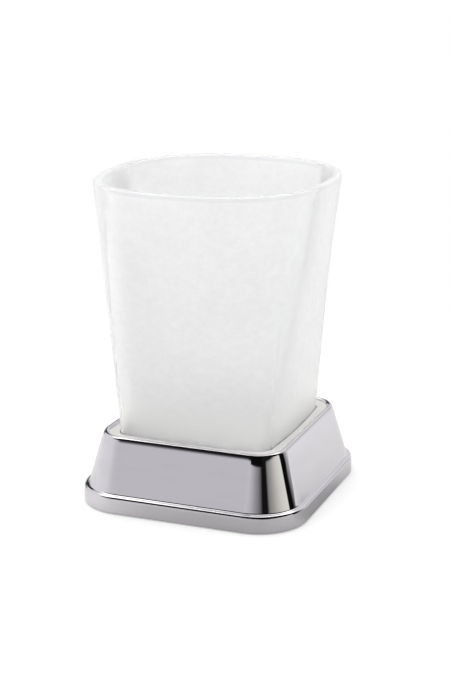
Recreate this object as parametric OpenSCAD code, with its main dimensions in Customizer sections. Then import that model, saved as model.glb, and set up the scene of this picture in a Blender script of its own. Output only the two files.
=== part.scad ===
// Bathroom tumbler: a frosted glass that stands in a low square base with bright sloping walls.
// Millimetres, +Z up. The origin is the centre of the underside, where the pads meet the vanity top.
// Every section of the base is one small core square grown outwards, so all its corners share
// the same four centres and the walls turn them without a break.

/* [Base shell] */
// Width of the foot across its flats
base_w = 80; // [68:0.5:96]
// Radius of the foot's corners
base_corner_r = 17; // [14:0.5:20]
// Height of the lip above the surface that the base stands on
base_h = 25; // [23:0.25:32]
// How far the sloping walls lean in from the foot to the lip
wall_lean = 5.55; // [3:0.05:7]
// Radius of the rounded lip, half the thickness that shows from above
lip_r = 1; // [0.7:0.05:1.1]
// Height of the foot's upright band
foot_h = 6; // [5:0.1:7]
// How far the foot stands out from the sloping wall
foot_step = 1.7; // [1.6:0.05:2.4]
// Radius of the foot's upper edge
foot_edge_r = 1; // [0.5:0.05:1]
// Radius of the foot's lower edge
foot_low_r = 0.4; // [0.2:0.05:0.8]
// Radius of the hollow fillet between the foot and the sloping wall
fillet_r = 0.7; // [0.3:0.05:0.7]
// Thickness of the sloping wall
shell_wall = 2; // [1.6:0.1:2.4]
// Thickness of the shoulder that carries the liner
shoulder_t = 1.4; // [1:0.1:2]
// Width of the lower edge that stays outside the bottom plate
foot_rim_w = 1.6; // [1.2:0.1:2]

/* [Glass] */
// Height of the rim above the surface that the base stands on
overall_h = 110.4; // [95:0.2:125]
// Width of the glass across its rim
glass_rim_w = 80.4; // [74:0.2:86]
// Power of the rim's outline, where 2 is a circle and a larger number is squarer
rim_power = 2.44; // [2:0.02:3.4]
// How much rounder the corners of its foot are than corners that share the base's centres
corner_soften = 1.76; // [0.5:0.02:5]
// How far the walls draw in at half height from a straight taper
draw_in = 0.33; // [0:0.01:0.8]
// Thickness of the wall
glass_wall = 3.2; // [2.6:0.1:3.6]
// Thickness of the bottom
glass_floor_t = 8; // [5:0.5:12]
// Radius of the polished edges of the rim
rim_r = 1.4; // [0.8:0.05:1.5]
// Radius round the outside of the foot
foot_round_r = 2.5; // [1.5:0.1:3.5]
// Radius round the inside of the bottom
floor_round_r = 6; // [3:0.5:9]
// Depth of the hollow under the foot
hollow_d = 0.8; // [0.4:0.1:1.4]
// Width of the ring that the glass stands on
stand_ring_w = 3; // [2:0.5:5]

/* [Seat liner] */
// Drop from the top of the lip to the ledge round the glass
ledge_drop = 0.8; // [0.5:0.1:1.4]
// Width of the ledge between the lip and the opening for the glass
ledge_w = 2.35; // [1.8:0.05:4]
// Thickness of the liner's flange
flange_t = 1.4; // [1:0.1:1.8]
// Thickness of the liner's well
liner_wall = 1.2; // [1:0.1:1.3]
// Thickness of the liner's floor
liner_floor_t = 1.4; // [1:0.1:2]
// Gap between the glass and the well
glass_gap = 0.35; // [0.3:0.05:0.5]
// Gap between the liner's flange and the inside of the lip
flange_gap = 0.15; // [0.1:0.05:0.3]
// Gap between the well and the shoulder
shoulder_gap = 0.2; // [0.1:0.05:0.4]
// Thickness of the soft pad under the glass
seat_pad_t = 1; // [0.6:0.1:1.6]
// Gap between the soft pad and the well
seat_pad_gap = 1; // [0.5:0.1:2]

/* [Bottom plate] */
// Thickness of the bottom plate
plate_t = 1.6; // [1.4:0.1:2.4]
// How far the plate lies inside the foot's lower edge
plate_inset = 0.6; // [0.3:0.1:1]
// Gap round the plate
plate_gap = 0.2; // [0.1:0.05:0.4]
// Gap between the plate and the underside of the liner's floor
floor_gap = 1.4; // [0.8:0.1:4]
// Diameter of a non-slip pad
pad_d = 10; // [7:0.5:12]
// How far the non-slip pads stand below the foot
pad_proud = 0.4; // [0.3:0.05:1]
// Depth of a pad's recess in the plate
pad_recess_d = 0.6; // [0.4:0.05:0.8]
// Gap round a pad in its recess
pad_gap = 0.2; // [0.1:0.05:0.4]
// Distance from a pad's edge to the edge of the plate, measured to each side
pad_margin = 6; // [5.5:0.5:9]

/* [Screws] */
// Diameter of a screw's shank
screw_d = 2.8; // [2.4:0.1:3]
// Diameter of a screw's countersunk head
screw_head_d = 5.2; // [4.6:0.1:5.4]
// Length of a screw, head included
screw_l = 9; // [7:0.5:10]
// Gap round a screw's shank in its boss
boss_gap = 0.05; // [0.02:0.01:0.1]
// Gap round a screw's shank and head in the plate
plate_hole_gap = 0.2; // [0.1:0.05:0.3]
// Diameter of a screw boss on the liner
boss_d = 5.8; // [5:0.1:6.2]
// How deep a boss is let into the wall of the well
boss_bite = 1; // [0.8:0.1:1.2]
// Length of bore left past the end of a screw
bore_spare = 0.6; // [0.4:0.1:1.5]
// Thickness of the end of a boss above its bore
boss_end_t = 1; // [0.8:0.1:1.6]
// Thickness of the rib that joins a boss to the well
rib_t = 1.6; // [1.2:0.1:2.4]
// Width of a cross recess's arm
cross_w = 0.7; // [0.5:0.05:0.9]
// Span of a cross recess
cross_span = 2.8; // [2.2:0.1:3.4]
// Depth of a cross recess
cross_d = 0.9; // [0.6:0.05:1.1]

/* [Hidden] */

$fn = 64;
// Overrun of every cut past the face that it opens, and height of a well's two outlines
over = 0.1;
// Steps round each quarter of the glass's outline, and how strongly they crowd into its corners
quarter_steps = 18;
corner_pull = 1.8;
// Levels up the walls of the glass
wall_levels = 8;
// Steps round the edges of the glass, and round each edge of the shell
edge_steps = 4;
profile_steps = 6;
// Run of the slope between the hollow under the glass and its standing ring, for each unit of depth
hollow_run = 2;

// Places up the base
foot_low_z = pad_proud;
foot_top_z = foot_low_z + foot_h;
plate_low_z = foot_low_z + plate_inset;
plate_top_z = plate_low_z + plate_t;
floor_low_z = plate_top_z + floor_gap;
floor_top_z = floor_low_z + liner_floor_t;
ledge_z = base_h - ledge_drop;
shoulder_z = ledge_z - flange_t;

// Places out from the core square
core = base_w / 2 - base_corner_r;
body_x = base_corner_r - foot_step;
lip_x = body_x - wall_lean;
slope = atan2(body_x - lip_x, base_h - foot_top_z);
lip_mid_x = lip_x + lip_r * tan(slope) - lip_r / cos(slope);
lip_in_x = lip_mid_x - lip_r;
plate_seat_x = base_corner_r - foot_rim_w;
plate_x = plate_seat_x - plate_gap;
flange_x = lip_in_x - flange_gap;

// Places on the glass
glass_z = floor_top_z + seat_pad_t;
glass_h = overall_h - glass_z;
glass_floor_z = glass_z + glass_floor_t;
rim_half = glass_rim_w / 2;
ledge_share = glass_share(ledge_z);
ledge_half = core + flange_x - ledge_w - glass_gap;
foot_half = (ledge_half - rim_half * ledge_share + drawn(ledge_share)) / (1 - ledge_share);
foot_corner_share = (foot_half - core + corner_soften) / foot_half;
well_half = glass_half(shoulder_z) + glass_gap + liner_wall;
shoulder_x = well_half + shoulder_gap - core;

// Places of the fasteners and pads
screw_tip_z = plate_low_z + screw_l;
bore_top_z = screw_tip_z + bore_spare;
boss_top_z = bore_top_z + boss_end_t;
screw_at = glass_half(boss_top_z) + glass_gap + liner_wall + boss_d / 2 - boss_bite;
head_h = (screw_head_d - screw_d) / 2;
pad_at = core + plate_x - pad_margin - pad_d / 2;

// Share of the way up the glass at a height
function glass_share(z) = (z - glass_z) / glass_h;

// How far the walls draw in from a straight taper at a share of the height
function drawn(s) = 4 * draw_in * s * (1 - s);

// Half width of the glass at a height
function glass_half(z) =
    let (s = glass_share(z)) foot_half + (rim_half - foot_half) * s - drawn(s);

// How far the outline has turned from the foot's rounded square to the rim's outline
function glass_blend(z) = min(max(glass_share(z), 0), 1);

// Angle from the middle of the nearest side
function folded(a) = abs((a + 45) % 90 - 45);

// Reach of a rounded square whose half width is 1, at an angle from the middle of a side
function squared_reach(p) =
    let (c = 1 - foot_corner_share, d = c * (cos(p) + sin(p)))
    tan(p) <= c ? 1 / cos(p) : d + sqrt(d * d - 2 * c * c + foot_corner_share * foot_corner_share);

// Reach of the rim's outline whose half width is 1
function rim_reach(p) = pow(pow(cos(p), rim_power) + pow(sin(p), rim_power), -1 / rim_power);

// Angles round an outline, crowded towards the four corners
ring_angles = [for (q = [0:3]) for (i = [0:quarter_steps - 1])
    let (w = 2 * i / quarter_steps - 1) 90 * q + 45 + sign(w) * 45 * pow(abs(w), corner_pull)];

// One outline of the glass, from its half width and its blend
function outline(half, blend) = [for (a = ring_angles)
    let (p = folded(a), r = half * ((1 - blend) * squared_reach(p) + blend * rim_reach(p)))
    [r * cos(a), r * sin(a)]];

// A ring is [half width, height]: its blend follows from its height
function ring_points(ring) =
    [for (p = outline(ring[0], glass_blend(ring[1]))) [p[0], p[1], ring[1]]];

// Heights in equal steps
function levels(z0, z1, n) = [for (i = [0:n]) z0 + (z1 - z0) * i / n];

// Points of an arc by its centre, radius and end angles
function arc(x, y, r, a0, a1, n) =
    [for (i = [0:n]) let (a = a0 + (a1 - a0) * i / n) [x + r * cos(a), y + r * sin(a)]];

// Rings of the glass, from the hollow under it, up the outside, over the rim and down to its floor
hollow_half = glass_half(glass_z) - foot_round_r - stand_ring_w;
foot_rings = [for (p = arc(0, glass_z + foot_round_r, foot_round_r, -90, 0, edge_steps))
    [glass_half(p[1]) - foot_round_r + p[0], p[1]]];
outer_rings = [for (z = levels(glass_z + foot_round_r, overall_h - rim_r, wall_levels))
    [glass_half(z), z]];
rim_out_rings = [for (p = arc(0, overall_h - rim_r, rim_r, 0, 90, edge_steps))
    [glass_half(p[1]) - rim_r + p[0], p[1]]];
rim_in_rings = [for (p = arc(0, overall_h - rim_r, rim_r, 90, 180, edge_steps))
    [glass_half(p[1]) - glass_wall + rim_r + p[0], p[1]]];
inner_rings = [for (z = levels(overall_h - rim_r, glass_floor_z + floor_round_r, wall_levels))
    [glass_half(z) - glass_wall, z]];
floor_rings = [for (p = arc(0, glass_floor_z + floor_round_r, floor_round_r, 0, -90, edge_steps))
    [glass_half(p[1]) - glass_wall - floor_round_r + p[0], p[1]]];
glass_rings = concat(
    [[hollow_half - hollow_run * hollow_d, glass_z + hollow_d], [hollow_half, glass_z]],
    foot_rings, tail(outer_rings), tail(rim_out_rings), rim_in_rings, tail(inner_rings),
    tail(floor_rings));

// A list without its first entry
function tail(list) = [for (i = [1:len(list) - 1]) list[i]];

// Skin through a list of rings, closed by its first and last outlines
module loft(rings) {
    n = len(ring_angles);
    points = [for (ring = rings) each ring_points(ring)];
    sides = [for (i = [0:len(rings) - 2]) for (j = [0:n - 1])
        let (a = i * n + j, b = i * n + (j + 1) % n) each [[a, a + n, b + n], [a, b + n, b]]];
    first = [for (j = [0:n - 1]) j];
    last = [for (j = [n - 1:-1:0]) (len(rings) - 1) * n + j];
    polyhedron(points, concat([first], sides, [last]), convexity = 6);
}

// Solid that follows the outside of the glass at a distance, between two heights
module well(grow, z0, z1) {
    hull() for (z = [z0, z1 - over]) translate([0, 0, z]) linear_extrude(over)
        polygon(outline(glass_half(z) + grow, glass_blend(z)));
}

// The core square grown outwards, as a flat outline
module grown_square(grow) {
    square([2 * (core + grow), 2 * core], center = true);
    square([2 * core, 2 * (core + grow)], center = true);
    for (sx = [-1, 1]) for (sy = [-1, 1]) translate([sx * core, sy * core]) circle(r = grow);
}

// A profile of distance outside the core square against height, carried round the core square
module round_core() {
    for (q = [0:3]) rotate(90 * q) translate([core, core, 0]) {
        rotate_extrude(angle = 90) children();
        rotate([90, 0, 0]) linear_extrude(2 * core) children();
    }
}

module at_sides(reach) {
    for (q = [0:3]) rotate(90 * q) translate([reach, 0, 0]) children();
}

module at_corners(reach) {
    for (q = [0:3]) rotate(90 * q) translate([reach, reach, 0]) children();
}

// Distance from the core to the inner face of the sloping wall at a height
function inner_x(z) = lip_x + (base_h - z) * tan(slope) - shell_wall / cos(slope);

module shell_profile() {
    fillet_z = foot_top_z + fillet_r;
    fillet_x = body_x - fillet_r * tan(slope) + fillet_r / cos(slope);
    shoulder_low_z = shoulder_z - shoulder_t;
    chamfer = (inner_x(shoulder_low_z) - shoulder_x) / (1 - tan(slope));
    polygon(concat(
        [[plate_seat_x, foot_low_z]],
        arc(base_corner_r - foot_low_r, foot_low_z + foot_low_r, foot_low_r, -90, 0, profile_steps),
        arc(base_corner_r - foot_edge_r, foot_top_z - foot_edge_r, foot_edge_r, 0, 90, profile_steps),
        arc(fillet_x, fillet_z, fillet_r, 270, 180 + slope, profile_steps),
        arc(lip_mid_x, base_h - lip_r, lip_r, slope, 180, 2 * profile_steps),
        [[lip_in_x, shoulder_z], [shoulder_x, shoulder_z], [shoulder_x, shoulder_low_z],
         [shoulder_x + chamfer, shoulder_low_z - chamfer],
         [inner_x(plate_top_z), plate_top_z], [plate_seat_x, plate_top_z]]));
}

// Frosted glass, one pressed piece that lifts out of the base
module tumbler_glass() {
    color([0.9, 0.9, 0.9, 0.75]) loft(glass_rings);
}

// Bright-plated casting: lip, shoulder, sloping walls and foot, open underneath
module base_shell() {
    color([0.72, 0.71, 0.74]) round_core() shell_profile();
}

// Pale moulded tray: the flange is the ledge round the glass, and the glass stands in the well
module seat_liner() {
    color([0.77, 0.76, 0.75]) difference() {
        union() {
            translate([0, 0, shoulder_z]) linear_extrude(flange_t) grown_square(flange_x);
            well(glass_gap + liner_wall, floor_low_z, shoulder_z + flange_t / 2);
            at_sides(screw_at) translate([0, 0, plate_top_z])
                cylinder(h = boss_top_z - plate_top_z, d = boss_d);
            at_sides(0) translate([0, -rib_t / 2, floor_low_z])
                cube([screw_at, rib_t, boss_top_z - floor_low_z]);
        }
        well(glass_gap, floor_top_z, ledge_z + over);
        at_sides(screw_at) translate([0, 0, plate_top_z - over])
            cylinder(h = bore_top_z - plate_top_z + over, d = screw_d + 2 * boss_gap);
    }
}

// Soft pad on the liner's floor, so the glass neither knocks nor slides
module seat_pad() {
    color([0.35, 0.35, 0.36]) translate([0, 0, floor_top_z]) linear_extrude(seat_pad_t)
        polygon(outline(glass_half(floor_top_z) + glass_gap - seat_pad_gap, 0));
}

// Plate that closes the underside and clamps the liner down on the shoulder
module bottom_plate() {
    color([0.2, 0.2, 0.21]) difference() {
        translate([0, 0, plate_low_z]) linear_extrude(plate_t) grown_square(plate_x);
        at_sides(screw_at) translate([0, 0, plate_low_z - over])
            cylinder(h = plate_t + 2 * over, d = screw_d + 2 * plate_hole_gap);
        at_sides(screw_at) translate([0, 0, plate_low_z])
            cylinder(h = head_h, d1 = screw_head_d + 2 * plate_hole_gap,
                     d2 = screw_d + 2 * plate_hole_gap);
        at_corners(pad_at) translate([0, 0, plate_low_z - over])
            cylinder(h = pad_recess_d + over, d = pad_d + 2 * pad_gap);
    }
}

// Four equal countersunk screws with cross recesses
module plate_screws() {
    color([0.6, 0.6, 0.62]) at_sides(screw_at) translate([0, 0, plate_low_z]) difference() {
        union() {
            cylinder(h = head_h, d1 = screw_head_d, d2 = screw_d);
            cylinder(h = screw_l, d = screw_d);
        }
        for (a = [0, 90]) rotate(a) translate([-cross_span / 2, -cross_w / 2, -over])
            cube([cross_span, cross_w, cross_d + over]);
    }
}

// Four equal non-slip pads
module foot_pads() {
    color([0.12, 0.12, 0.12]) at_corners(pad_at)
        cylinder(h = plate_low_z + pad_recess_d, d = pad_d);
}

tumbler_glass();
base_shell();
seat_liner();
seat_pad();
bottom_plate();
plate_screws();
foot_pads();
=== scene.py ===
"""Looks of a bathroom tumbler: a frosted glass that stands in a low square base with bright walls.

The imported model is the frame. Each main piece is a list of rings, as (size, height), that a Geometry
Nodes tree carries round the piece's own outline, and a second tree sets copies of what repeats round
the middle of the base. The finished piece is a plain mesh in metres.
"""

import logging
import math
from dataclasses import dataclass
from enum import Enum
from typing import NamedTuple

import bmesh
import bpy
from bpy.types import ID, Material, Node, NodeSocket, NodeTree, Object
from mathutils import Matrix, Vector


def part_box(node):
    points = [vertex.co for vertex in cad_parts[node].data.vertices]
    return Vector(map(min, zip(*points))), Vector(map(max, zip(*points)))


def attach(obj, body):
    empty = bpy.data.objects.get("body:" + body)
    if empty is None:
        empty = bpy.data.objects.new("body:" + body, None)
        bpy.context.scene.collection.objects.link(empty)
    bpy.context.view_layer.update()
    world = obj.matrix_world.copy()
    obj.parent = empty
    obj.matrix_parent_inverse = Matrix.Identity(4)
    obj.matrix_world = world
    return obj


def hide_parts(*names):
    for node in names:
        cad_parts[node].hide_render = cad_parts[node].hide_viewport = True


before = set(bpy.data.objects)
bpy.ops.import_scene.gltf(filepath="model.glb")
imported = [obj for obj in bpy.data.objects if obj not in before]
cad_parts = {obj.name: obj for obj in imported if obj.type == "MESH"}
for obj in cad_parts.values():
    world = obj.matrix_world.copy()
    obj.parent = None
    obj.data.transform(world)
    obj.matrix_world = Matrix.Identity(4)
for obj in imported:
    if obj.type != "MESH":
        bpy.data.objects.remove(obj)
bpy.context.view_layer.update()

LOG = logging.getLogger("tumbler")
Span = tuple[float, float]
Triple = tuple[float, float, float]
MM = 0.001
# Half width of the square that every section of the base grows from, in millimetres
CORE = 23.0
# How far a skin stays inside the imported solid's own width, in millimetres
MARGIN = 0.005
# Distance within which a tree merges points, in metres
WELD = 0.000001
# Shares of its size where a flat end is closed towards its middle
CLOSING_SHARES = (0.97, 0.5, 0.0)
# Angle, in degrees, above which the edge of a cut stays sharp
SHARP_ANGLE = 35.0
# How many faces round off an edge of a block
BEVEL_FACES = 2
# Directions in a section, in degrees above outwards
DOWN, OUT, UP, INWARD, UNDER = -90.0, 0.0, 90.0, 180.0, 270.0
# Direction of a corner of the base, in degrees from the middle of a side
CORNER_ANGLE = 45.0
SIDES = 4
OPAQUE = 1.0
# What a side and half a side take of a full turn, in radians
QUARTER = math.tau / SIDES
EIGHTH = QUARTER / 2


def low_z(node: str) -> float:
    """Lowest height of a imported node, in millimetres."""
    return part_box(node)[0][2] / MM


def high_z(node: str) -> float:
    """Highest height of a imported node, in millimetres."""
    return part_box(node)[1][2] / MM


def half_width(node: str) -> float:
    """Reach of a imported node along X, in millimetres."""
    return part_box(node)[1][0] / MM


class Ring(NamedTuple):
    """One ring of a piece: its half width or growth, its height and how its outline is turned."""

    size: float
    height: float
    corner_share: float = 0.0
    turn: float = 0.0
    thread: float = 0.0


class Outline(Enum):
    """The rule that carries a ring round a piece."""

    GLASS = "rounded square that turns into the outline of the rim"
    CORE_SQUARE = "core square grown outwards"
    ROUND = "circle that a screw thread may draw in"


class Field:
    """A number that a node tree works out, with the usual arithmetic."""

    def __init__(self, socket: NodeSocket) -> None:
        """Wraps an output socket of a node."""
        self.socket = socket
        self.tree = socket.id_data

    def math(self, operation: str, *others: "Field | float") -> "Field":
        """Result of a math node, given Blender's name of its operation and its other values."""
        return math_node(self.tree, operation, self, *others)

    def __add__(self, other: "Field | float") -> "Field":
        """Sum."""
        return self.math("ADD", other)

    def __mul__(self, other: "Field | float") -> "Field":
        """Product."""
        return self.math("MULTIPLY", other)

    def __sub__(self, other: "Field | float") -> "Field":
        """Difference."""
        return self.math("SUBTRACT", other)

    def __rsub__(self, other: float) -> "Field":
        """Difference from a plain number."""
        return math_node(self.tree, "SUBTRACT", other, self)

    def __truediv__(self, other: "Field | float") -> "Field":
        """Quotient."""
        return self.math("DIVIDE", other)

    def __rtruediv__(self, other: float) -> "Field":
        """A plain number over this one."""
        return math_node(self.tree, "DIVIDE", other, self)

    def __pow__(self, other: "Field | float") -> "Field":
        """Power."""
        return self.math("POWER", other)

    def mix(self, start: "Field | float", end: "Field | float") -> "Field":
        """The value between start and end, where this field is the share of the way."""
        return (1 - self) * start + self * end

    def ramp(self, low: float, high: float) -> "Field":
        """A smooth step from 0 at low to 1 at high."""
        node = add_node(self.tree, "ShaderNodeMapRange", {"Value": self, "From Min": low, "From Max": high},
                        interpolation_type="SMOOTHSTEP")
        return Field(node.outputs["Result"])


def fill(socket: NodeSocket, value: object) -> None:
    """Gives a node's input what it works with.

    Args:
        socket: the input.
        value: a field, another node's output or a plain value.
    """
    if isinstance(value, Field):
        value = value.socket
    if isinstance(value, NodeSocket):
        socket.id_data.links.new(value, socket)
    else:
        socket.default_value = value


def add_node(tree: NodeTree, kind: str, inputs: dict[str | int, object] | None = None,
             **settings: object) -> Node:
    """Adds a node to a tree.

    Args:
        tree: the tree.
        kind: Blender's name of the kind of node.
        inputs: what its inputs are given, by their names or places.
        settings: its other settings.

    Returns:
        The new node.
    """
    node = tree.nodes.new(kind)
    for name, value in settings.items():
        setattr(node, name, value)
    for key, value in (inputs or {}).items():
        fill(node.inputs[key], value)
    return node


def math_node(tree: NodeTree, operation: str, *values: Field | float) -> Field:
    """Result of a math node, given Blender's name of its operation and its values."""
    node = add_node(tree, "ShaderNodeMath", dict(enumerate(values)), operation=operation)
    return Field(node.outputs[0])


def combined(tree: NodeTree, *values: Field | float) -> NodeSocket:
    """Puts three fields or numbers together into a vector."""
    return add_node(tree, "ShaderNodeCombineXYZ", dict(enumerate(values))).outputs[0]


def coordinates(vector: NodeSocket) -> list[Field]:
    """Takes a vector apart into its three fields."""
    split = add_node(vector.id_data, "ShaderNodeSeparateXYZ", {0: vector})
    return [Field(output) for output in split.outputs]


def polar(reach: Field, angle: Field) -> tuple[Field, Field]:
    """The x and y of a point at a reach and an angle."""
    return reach * angle.math("COSINE"), reach * angle.math("SINE")


def mixed(share: Field, first: object, last: object) -> NodeSocket:
    """Mixes two colours, given as sockets or as red, green and blue.

    Args:
        share: how much of the last colour there is, from 0 to 1.
        first: the colour at 0.
        last: the colour at 1.

    Returns:
        The socket of the mixed colour.
    """
    node = add_node(share.tree, "ShaderNodeMix", {0: share}, data_type="RGBA")
    for socket, value in zip((s for s in node.inputs if s.type == "RGBA"), (first, last)):
        fill(socket, value if isinstance(value, NodeSocket) else (*value, OPAQUE))
    return next(s for s in node.outputs if s.type == "RGBA")


def arc(size: float, height: float, radius: float, start: float, end: float, steps: int) -> list[Ring]:
    """Rings of a round edge.

    Args:
        size: the arc's centre, outwards.
        height: the arc's centre, upwards.
        radius: its radius.
        start: its first angle, in degrees above outwards.
        end: its last angle.
        steps: how many pieces it has.

    Returns:
        The rings in order, both ends included.
    """
    angles = [math.radians(start + (end - start) * i / steps) for i in range(steps + 1)]
    return [Ring(size + radius * math.cos(a), height + radius * math.sin(a)) for a in angles]


def rounded_side(size: float, low: float, high: float, radius: float, steps: int) -> list[Ring]:
    """Rings of an upright side with a round edge at each end.

    Args:
        size: the side's reach, outwards.
        low: its lower end.
        high: its upper end.
        radius: the radius of its edges.
        steps: how many pieces each edge has.

    Returns:
        The rings from below upwards.
    """
    centre = size - radius
    lower = arc(centre, low + radius, radius, DOWN, OUT, steps)
    return lower + arc(centre, high - radius, radius, OUT, UP, steps)


def between(first: Ring, last: Ring, steps: int) -> list[Ring]:
    """Rings on the straight line between two rings, without its ends, crowded towards both."""
    shares = [s * s * (3 - 2 * s) for s in (i / steps for i in range(1, steps))]
    return [Ring(*(a + (b - a) * s for a, b in zip(first, last))) for s in shares]


def joined(parts: list[list[Ring]], steps: int) -> list[Ring]:
    """Joins stretches of rings by straight faces, each with rings close to its two ends.

    Args:
        parts: the stretches in order.
        steps: how many pieces each straight face has.

    Returns:
        All rings in order.
    """
    rings = list(parts[0])
    for part in parts[1:]:
        rings += between(rings[-1], part[0], steps) + list(part)
    return rings


def closed(ring: Ring) -> list[Ring]:
    """Rings that close a flat end, from a ring to its middle."""
    return [ring._replace(size=ring.size * share) for share in CLOSING_SHARES]


def capped(rings: list[Ring]) -> list[Ring]:
    """Closes both ends of a list of rings towards the middle."""
    return closed(rings[0])[::-1] + rings + closed(rings[-1])


def grown(size: float, height: float) -> Ring:
    """A ring of the core square grown outwards by a size, for a piece that closes in the middle."""
    half = CORE + size
    return Ring(half, height, size / half)


class MeshTree:
    """A Geometry Nodes tree that makes a mesh from another, by named inputs."""

    def __init__(self, name: str, inputs: dict[str, float]) -> None:
        """Makes the tree with its sockets.

        Args:
            name: the tree's name.
            inputs: its numbers, each with the value that it starts from.
        """
        self.tree = bpy.data.node_groups.new(name, "GeometryNodeTree")
        self._socket("Geometry", "Geometry")
        for key, value in inputs.items():
            self._socket(key, "Int" if isinstance(value, int) else "Float").default_value = value
        self._socket("Material", "Material")
        self._socket("Geometry", "Geometry", "OUTPUT")
        self.given = self.tree.nodes.new("NodeGroupInput")

    def _socket(self, name: str, kind: str, in_out: str = "INPUT") -> bpy.types.NodeTreeInterfaceSocket:
        """Adds a socket to the tree's own interface."""
        return self.tree.interface.new_socket(name, in_out=in_out, socket_type="NodeSocket" + kind)

    def _input(self, name: str) -> Field:
        """The field of a named input."""
        return Field(self.given.outputs[name])

    def _index(self) -> Field:
        """The number of the point that the tree works on."""
        return Field(add_node(self.tree, "GeometryNodeInputIndex").outputs[0])

    def _finish(self, mesh: NodeSocket, *steps: tuple[str, dict[str, object]]) -> None:
        """Runs a mesh through some nodes and out of the tree, as plain faces with their material.

        Args:
            mesh: the socket that the mesh comes from.
            steps: the kinds of node in order, each with its inputs.
        """
        ending = (("GeometryNodeRealizeInstances", {}),
                  ("GeometryNodeSetMaterial", {"Material": self.given.outputs["Material"]}))
        for kind, inputs in steps + ending:
            mesh = add_node(self.tree, kind, {0: mesh, **inputs}).outputs[0]
        add_node(self.tree, "NodeGroupOutput", {0: mesh})

    def run(self, obj: Object, values: dict[str, object]) -> Object:
        """Runs the tree on an object and leaves a plain mesh.

        Args:
            obj: the object whose mesh the tree reads.
            values: the tree's named inputs.

        Returns:
            The same object, with the result as its mesh and no modifier.
        """
        modifier = obj.modifiers.new("make", "NODES")
        modifier.node_group = self.tree
        for item in self.tree.interface.items_tree:
            if item.item_type == "SOCKET" and item.in_out == "INPUT" and item.name in values:
                modifier[item.identifier] = values[item.name]
        mesh = evaluated_mesh(obj)
        obj.modifiers.remove(modifier)
        mesh.materials.clear()
        mesh.materials.append(values["Material"])
        mesh.polygons.foreach_set("material_index", [0] * len(mesh.polygons))
        obj.data = mesh
        return obj


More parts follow.
